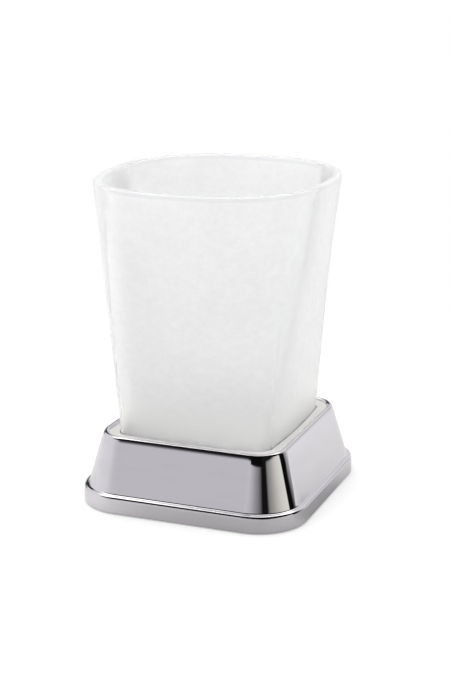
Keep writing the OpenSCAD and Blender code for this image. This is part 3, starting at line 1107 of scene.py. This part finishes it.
@dataclass
class Underside:
    """The plate that closes the base, its four screws and its four rubber pads. Millimetres."""

    plate_x: float = half_width("bottom_plate") - CORE - MARGIN
    plate_low_z: float = low_z("bottom_plate")
    plate_top_z: float = high_z("bottom_plate")
    plate_edge_r: float = 0.2
    head_r: float = 2.6
    shank_r: float = 1.4
    tip_z: float = high_z("plate_screws")
    tip_l: float = 0.7
    head_edge: float = 0.12
    hole_gap: float = 0.2
    thread_d: float = 0.28
    thread_pitch: float = 1.0
    thread_run: float = 0.6
    thread_step: float = 0.1
    cross_span: float = 1.4
    cross_half: float = 0.35
    cross_d: float = 0.9
    cross_taper: float = 0.62
    pad_r: float = 5.0
    pad_top_z: float = high_z("foot_pads")
    pad_edge_r: float = 0.5
    pad_gap: float = 0.2
    groove_r: float = 3.3
    groove_w: float = 0.5
    groove_d: float = 0.15
    over: float = 0.1
    arc_steps: int = 6
    face_steps: int = 2
    screw_seed: int = 7
    screw_turn: float = 40.0

    def screw_at(self) -> float:
        """Distance of a screw from the middle of the base."""
        return half_width("plate_screws") - self.head_r

    def pad_at(self) -> float:
        """Distance of a pad from the middle of the base, along its diagonal."""
        return (half_width("foot_pads") - self.pad_r) * math.sqrt(2)

    def neck_z(self) -> float:
        """Height where a screw's head, or its hole, turns into the shank."""
        return self.plate_low_z + self.head_r - self.shank_r

    def plate(self, finish: Material) -> Object:
        """The plate with its countersunk holes and the pads' recesses.

        Args:
            finish: its material.

        Returns:
            The plate.
        """
        low, high, over, gap = self.plate_low_z, self.plate_top_z, self.over, self.hole_gap
        head, shank, pad = self.head_r + gap, self.shank_r + gap, self.pad_r + self.pad_gap
        side = rounded_side(self.plate_x, low, high, self.plate_edge_r, self.arc_steps)
        skin = capped([grown(p.size, p.height) for p in side])
        hole = capped([Ring(head, low - over), Ring(head, low), Ring(shank, self.neck_z()),
                       Ring(shank, high + over)])
        recess = capped([Ring(pad, low - over), Ring(pad, self.pad_top_z)])
        plate = ring_piece("under_plate", skin, Outline.GLASS, finish)
        holes = around(ring_piece("hole", hole, Outline.ROUND, finish), self.screw_at(), finish)
        recesses = around(ring_piece("recess", recess, Outline.ROUND, finish), self.pad_at(), finish,
                          CORNER_ANGLE)
        return cut(plate, merged(holes, recesses))

    def cross(self, finish: Material) -> Object:
        """The tapered cross that is sunk into a screw's head.

        Args:
            finish: its material.

        Returns:
            The cross, with its arms along X and Y.
        """
        span, half, low = self.cross_span, self.cross_half, self.plate_low_z
        arm = ((span, -half), (span, half), (half, half))
        turns = ((1, 0), (0, 1), (-1, 0), (0, -1))
        outline = [(x * c - y * s, x * s + y * c) for c, s in turns for x, y in arm]
        levels = ((low - self.over, 1.0), (low + self.cross_d, self.cross_taper))
        ends = [[(x * share, y * share, z) for x, y in outline] for z, share in levels]
        return block("cross", ends, finish)

    def screw_rings(self) -> list[Ring]:
        """A countersunk screw.

        Returns:
            Its rings, from the middle of its head to its tip.
        """
        low, edge, neck = self.plate_low_z, self.head_edge, self.neck_z()
        head = [Ring(self.head_r - edge, low), Ring(self.head_r, low + edge), Ring(self.shank_r, neck)]
        start, end = neck + self.thread_run, self.tip_z - self.tip_l
        count = round((end - start) / self.thread_step)
        shank = []
        for i in range(count + 1):
            height = start + (end - start) * i / count
            depth = self.thread_d * min((height - start) / self.thread_run, 1.0)
            shank.append(Ring(self.shank_r, height, thread=depth * MM))
        tip = Ring(self.shank_r - self.tip_l, self.tip_z)
        return capped([*joined([head, shank], self.face_steps), tip])

    def pad_rings(self) -> list[Ring]:
        """A rubber pad with a shallow groove in the face that it stands on.

        Returns:
            Its rings, from the middle of that face to the middle of its top.
        """
        r, groove, half = self.pad_edge_r, self.groove_r, self.groove_w / 2
        face = [Ring(groove - half, 0.0), Ring(groove - half / 2, self.groove_d),
                Ring(groove + half / 2, self.groove_d), Ring(groove + half, 0.0)]
        edge = arc(self.pad_r - r, r, r, DOWN, OUT, self.arc_steps)
        top = [Ring(self.pad_r - self.over, self.pad_top_z)]
        return capped(face + joined([edge, top], self.face_steps))

    def build(self, plastic: Material, zinc: Material, rubber: Material) -> list[Object]:
        """Builds the plate, the screws and the pads, and puts them on their body.

        Args:
            plastic: the plate's material.
            zinc: the screws' material.
            rubber: the pads' material.

        Returns:
            The plate, the screws and the pads.
        """
        plate = placed(self.plate(plastic), "bottom_plate", "base")
        screw = ring_piece("screw", self.screw_rings(), Outline.ROUND, zinc, pitch=self.thread_pitch * MM)
        screws = around(cut(screw, self.cross(zinc)), self.screw_at(), zinc, turn=self.screw_turn,
                        seed=self.screw_seed)
        screws.name = "cross_screws"
        pad = ring_piece("rubber_feet", self.pad_rings(), Outline.ROUND, rubber)
        pads = around(pad, self.pad_at(), rubber, CORNER_ANGLE)
        placed(screws, "plate_screws", "base")
        placed(pads, "foot_pads", "base")
        return [plate, screws, pads]


# Share of blue that a fully warm part of the studio loses
BLUE_LOSS = 0.11
# Angles round the compass and up from the horizon, in degrees
OVERHEAD, HALF_TURN, FULL_TURN = 90.0, 180.0, 360.0
DEGREES = math.degrees(1)


@dataclass(frozen=True)
class Stop:
    """How bright the studio is at one azimuth near the horizon, and how warm. Degrees."""

    azimuth: float
    level: float
    warmth: float = 0.0


@dataclass(frozen=True)
class Card:
    """A soft-edged card over the studio's horizon that the plating reflects. Degrees."""

    azimuth: float
    half_width: float
    side_fade: float
    low: float
    low_fade: float
    high: float
    high_fade: float
    level: float
    warmth: float = 0.0


@dataclass(frozen=True)
class Lamp:
    """A soft square lamp that the metal doesn't mirror. Metres and watts."""

    name: str
    place: Triple
    side: float
    power: float


HORIZON = (
    Stop(-180.0, 0.97), Stop(-143.0, 0.91), Stop(-126.0, 0.75), Stop(-112.0, 0.71, -0.2),
    Stop(-100.0, 0.74, -0.3), Stop(-90.0, 0.6), Stop(-81.0, 0.43), Stop(-71.0, 0.27), Stop(-64.0, 0.1),
    Stop(-61.0, 0.008), Stop(-48.0, 0.008), Stop(-44.0, 0.22), Stop(-41.0, 0.33, 0.8),
    Stop(-31.0, 0.48, 1.0), Stop(-22.0, 0.65, 1.0), Stop(-10.0, 0.84, 1.0), Stop(0.0, 0.93, 1.0),
    Stop(11.0, 0.97, 0.6), Stop(12.0, 0.005), Stop(24.0, 0.005), Stop(33.0, 0.3), Stop(44.0, 0.5),
    Stop(54.0, 0.82), Stop(63.0, 0.97), Stop(107.0, 0.87), Stop(134.0, 0.94), Stop(161.0, 0.93),
    Stop(180.0, 0.97),
)
# In the order of a card's fields; each card covers those before it
CARDS = (
    Card(112.0, 105.0, 25.0, 52.0, 10.0, OVERHEAD, 1.0, 2.1, 0.5),
    Card(66.0, 8.0, 4.0, 10.0, 8.0, 22.0, 4.0, 0.66),
    Card(-68.0, 78.0, 5.0, 17.0, 3.0, 74.0, 4.0, 0.01),
    Card(-79.0, 18.0, 4.0, 14.0, 1.0, 74.0, 4.0, 0.004),
    Card(0.0, 180.0, 1.0, 82.0, 5.0, OVERHEAD, 1.0, 2.0, 0.5),
    Card(21.0, 9.5, 3.0, 1.5, 1.0, 70.0, 4.0, 0.004),
    Card(146.0, 9.0, 5.0, 4.0, 2.0, 12.0, 3.0, 0.02),
    Card(125.0, 14.0, 5.0, 16.0, 3.0, 32.0, 3.0, 0.05),
)
# Warmth of the floor in the plating, which takes the plating's own tint away
FLOOR_WARMTH = 0.2
# Painted shade and light on the floor as the plating sees it, at each azimuth from the middle, for the
# floor's shadow in its reflections
FLOOR_SHADE_IN_METAL = tuple(Stop(azimuth, level, FLOOR_WARMTH) for azimuth, level in (
    (-180.0, 0.9), (-160.0, 0.82), (-147.0, 0.92), (-136.0, 1.0), (-127.0, 0.92), (-107.0, 0.69),
    (-83.0, 0.64), (-69.0, 0.61), (-54.0, 0.58), (-42.0, 0.64), (-32.0, 0.7), (-22.0, 0.52), (4.0, 0.53),
    (15.0, 0.6), (28.0, 0.79), (60.0, 0.86), (180.0, 0.9),
))
LAMPS = (Lamp("top_soft", (-0.1, -0.1, 1.0), 0.8, 1.2), Lamp("left_soft", (-0.9, -0.2, 0.45), 0.6, 0.3))


def tinted(level: float, warmth: float = 0.0) -> Triple:
    """Colour of a lit part of the studio, warmer or cooler than plain white."""
    return level, level, level * (1 - BLUE_LOSS * warmth)


def compass(x: Field, y: Field, stops: tuple[Stop, ...]) -> tuple[Field, NodeSocket]:
    """A colour that follows a list of stops round the compass.

    Args:
        x: where the colour is asked for, along X.
        y: the same along Y.
        stops: the stops, from half a turn one way to half a turn the other way.

    Returns:
        The azimuth in degrees and the socket of the colour.
    """
    azimuth = y.math("ARCTAN2", x) * DEGREES
    node = add_node(x.tree, "ShaderNodeValToRGB", {0: (azimuth + HALF_TURN) / FULL_TURN})
    shares = [(stop.azimuth + HALF_TURN) / FULL_TURN for stop in stops]
    elements = node.color_ramp.elements
    for share in shares[1:-1]:
        elements.new(share)
    for element, share, stop in zip(elements, shares, stops):
        element.position = share
        element.color = (*tinted(stop.level, stop.warmth), OPAQUE)
    return azimuth, node.outputs[0]


@dataclass
class Studio:
    """The floor, the lamps, what the metal reflects, and the camera. Metres and degrees."""

    yaw: float = 22.01
    distance: float = 0.5362
    height: float = 0.20934
    pitch: float = 16.209
    pan: float = 0.193
    roll: float = -0.433
    lens: float = 86.687
    nearest: float = 0.01
    lamp_aim: Triple = (0.0, 0.0, 0.06)
    ambient: float = 1.03
    floor_half: float = 0.3
    floor_grey: float = 0.8
    floor_rough: float = 0.9
    floor_gloss: float = 0.0
    floor_glow: float = 0.3
    floor_fade: Span = (0.12, 0.28)

    def camera(self) -> None:
        """Places the camera as the photograph's fit gives it."""
        data = bpy.data.cameras.new("camera")
        data.lens = self.lens
        data.clip_start = self.nearest
        camera = link_object("camera", data)
        turns = ((-self.pan, "Z"), (UP - self.pitch, "X"), (self.roll, "Z"))
        pan, pitch, roll = (Matrix.Rotation(math.radians(angle), 4, axis) for angle, axis in turns)
        place = Matrix.Translation((0.0, -self.distance, self.height))
        yaw = Matrix.Rotation(math.radians(self.yaw), 4, "Z")
        camera.matrix_world = yaw @ place @ pan @ pitch @ roll
        bpy.context.scene.camera = camera

    def world(self) -> None:
        """White for the camera and through glass, a studio with dark cards for reflections."""
        world = bpy.data.worlds.new("studio")
        bpy.context.scene.world = world
        world.use_nodes = True
        tree = world.node_tree
        x, y, z = coordinates(add_node(tree, "ShaderNodeTexCoord").outputs["Generated"])
        elevation = z.math("ARCSINE") * DEGREES
        azimuth, colour = compass(x, y, HORIZON)
        for card in CARDS:
            turned = (azimuth - card.azimuth + HALF_TURN).math("FLOORED_MODULO", FULL_TURN)
            aside = (turned - HALF_TURN).math("ABSOLUTE")
            across = 1 - aside.ramp(card.half_width, card.half_width + card.side_fade)
            up = elevation.ramp(card.low - card.low_fade, card.low)
            down = 1 - elevation.ramp(card.high, card.high + card.high_fade)
            colour = mixed(across * up * down, colour, tinted(card.level, card.warmth))
        path = add_node(tree, "ShaderNodeLightPath").outputs
        glossy, straight = Field(path["Is Glossy Ray"]), Field(path["Is Camera Ray"])
        passed = Field(path["Transmission Depth"]).math("MINIMUM", 1.0)
        soft = mixed(glossy, tinted(self.ambient), colour)
        seen = mixed(straight.math("MAXIMUM", passed), soft, tinted(1.0))
        fill(tree.nodes["Background"].inputs["Color"], seen)

    def floor_finish(self) -> Material:
        """Pale, with painted shade round the object where the metal sees it, and white away from the object
        where the camera, metal or glass sees it.

        Returns:
            The floor's material.
        """
        finish = Finish("pale_floor")
        finish.constant(Roughness=self.floor_rough, Specular_IOR_Level=self.floor_gloss)
        tree = finish.tree
        path = add_node(tree, "ShaderNodeLightPath").outputs
        straight, glossy = Field(path["Is Camera Ray"]), Field(path["Is Glossy Ray"])
        x, y, _ = coordinates(finish.place)
        # Painted shade and light: for reflections in the metal, the floor's colour follows the azimuth
        # stops
        levels = compass(x, y, FLOOR_SHADE_IN_METAL)[1]
        grey = mixed(glossy, tinted(self.floor_grey), levels)
        fill(finish.shader.inputs["Base Color"], grey)
        glow = add_node(tree, "ShaderNodeEmission", {"Strength": straight * self.floor_glow})
        near = add_node(tree, "ShaderNodeAddShader", {0: finish.shader.outputs[0], 1: glow.outputs[0]})
        white = add_node(tree, "ShaderNodeEmission")
        reach = add_node(tree, "ShaderNodeVectorMath", {0: finish.place}, operation="LENGTH")
        seen = straight.math("MAXIMUM", glossy).math("MAXIMUM", Field(path["Is Transmission Ray"]))
        away = Field(reach.outputs["Value"]).ramp(*self.floor_fade) * seen
        both = add_node(tree, "ShaderNodeMixShader", {0: away, 1: near.outputs[0], 2: white.outputs[0]})
        fill(tree.nodes["Material Output"].inputs["Surface"], both.outputs[0])
        return finish.material

    def floor(self) -> None:
        """A plain pale floor that keeps the object's shadow."""
        mesh = bpy.data.meshes.new("floor")
        h = self.floor_half
        mesh.from_pydata([(-h, -h, 0), (h, -h, 0), (h, h, 0), (-h, h, 0)], [], [(0, 1, 2, 3)])
        mesh.materials.append(self.floor_finish())
        floor = link_object("floor", mesh)

    def lamps(self) -> None:
        """Hangs the lamps and points them at the object."""
        for lamp in LAMPS:
            light = bpy.data.lights.new(lamp.name, "AREA")
            light.size = lamp.side
            light.energy = lamp.power
            hung = link_object(lamp.name, light)
            hung.visible_glossy = False
            place = Vector(lamp.place)
            turn = (Vector(self.lamp_aim) - place).to_track_quat("-Z", "Y")
            hung.matrix_world = Matrix.Translation(place) @ turn.to_matrix().to_4x4()

    def build(self) -> None:
        """Sets the whole stage."""
        self.camera()
        self.world()
        self.floor()
        self.lamps()
        bpy.context.scene.view_settings.view_transform = "Standard"


def main() -> None:
    """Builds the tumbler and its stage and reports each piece."""
    Studio().build()
    glass, under = TumblerGlass(), Underside()
    pieces = glass.build(FrostedGlass().make())
    pieces += BaseShell().build(BRIGHT_PLATING.make())
    pieces += SeatLiner(glass, under.screw_at()).build(LINER_PLASTIC.make(), SEAT_FOAM.make())
    pieces += under.build(PLATE_PLASTIC.make(), ZINC_PLATE.make(), PAD_RUBBER.make())
    for piece in pieces:
        LOG.info("%s: %d faces", piece.name, len(piece.data.polygons))


if __name__ == "__main__":
    logging.basicConfig(level=logging.INFO, format="%(name)s: %(message)s")
    main()
